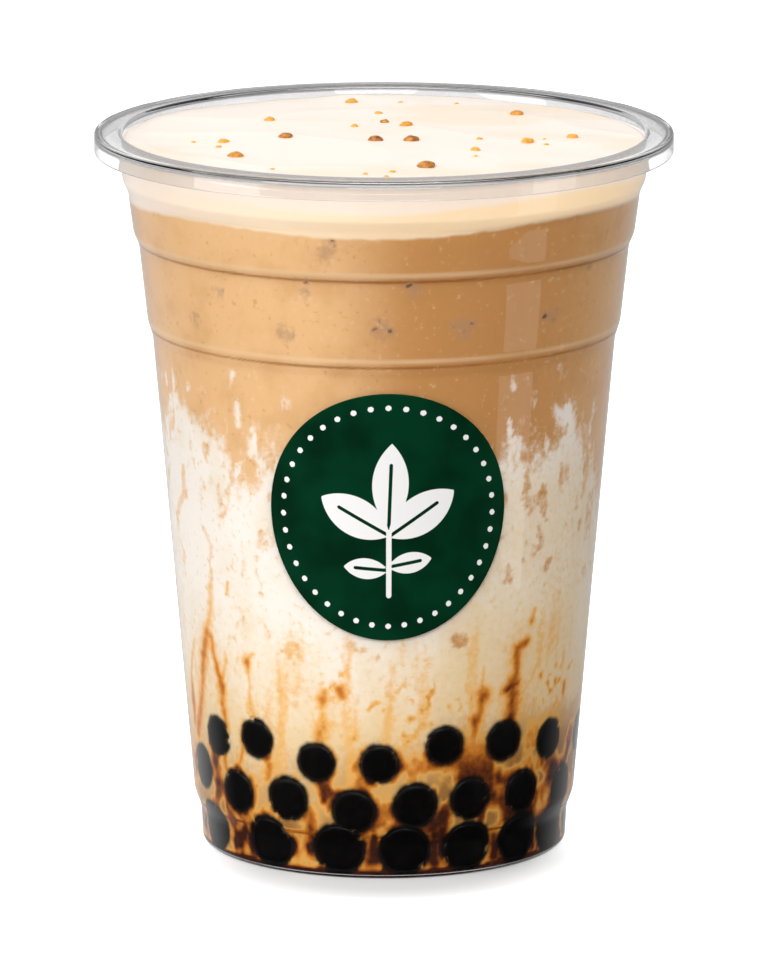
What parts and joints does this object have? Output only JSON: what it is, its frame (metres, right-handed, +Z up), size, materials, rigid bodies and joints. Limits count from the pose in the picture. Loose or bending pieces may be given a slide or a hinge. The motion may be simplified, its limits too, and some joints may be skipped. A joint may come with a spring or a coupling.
{
  "type": "bubble tea",
  "caption": "Layered milk tea in a clear tapered takeaway cup: tapioca pearls, milk, milk tea and a foam cap with brown sugar crumbs, with a round label on the front.",
  "frame": {"origin": "centre of the cup's foot, on the table", "axes": "+Z up along the cup's axis, -Y towards the front of the cup, where the label is, +X to the viewer's right"},
  "size_m": [0.098, 0.098, 0.1228],
  "materials": {
    "clear_plastic": "clear, glossy thermoformed PET",
    "label_print": "dark green printed film with a small white design",
    "tapioca": "glossy, near-black cooked tapioca in brown sugar syrup",
    "milk": "milk with tan and brown syrup marbling",
    "milk_tea": "milk tea, tan, with darker specks",
    "milk_foam": "thick satin milk foam with brown sugar crumbs"
  },
  "bodies": {
    "root": {"cup": "clear_plastic", "label": "label_print", "tapioca_pearls": "tapioca", "milk": "milk", "milk_tea": "milk_tea", "milk_foam": "milk_foam"}
  },
  "joints": []
}
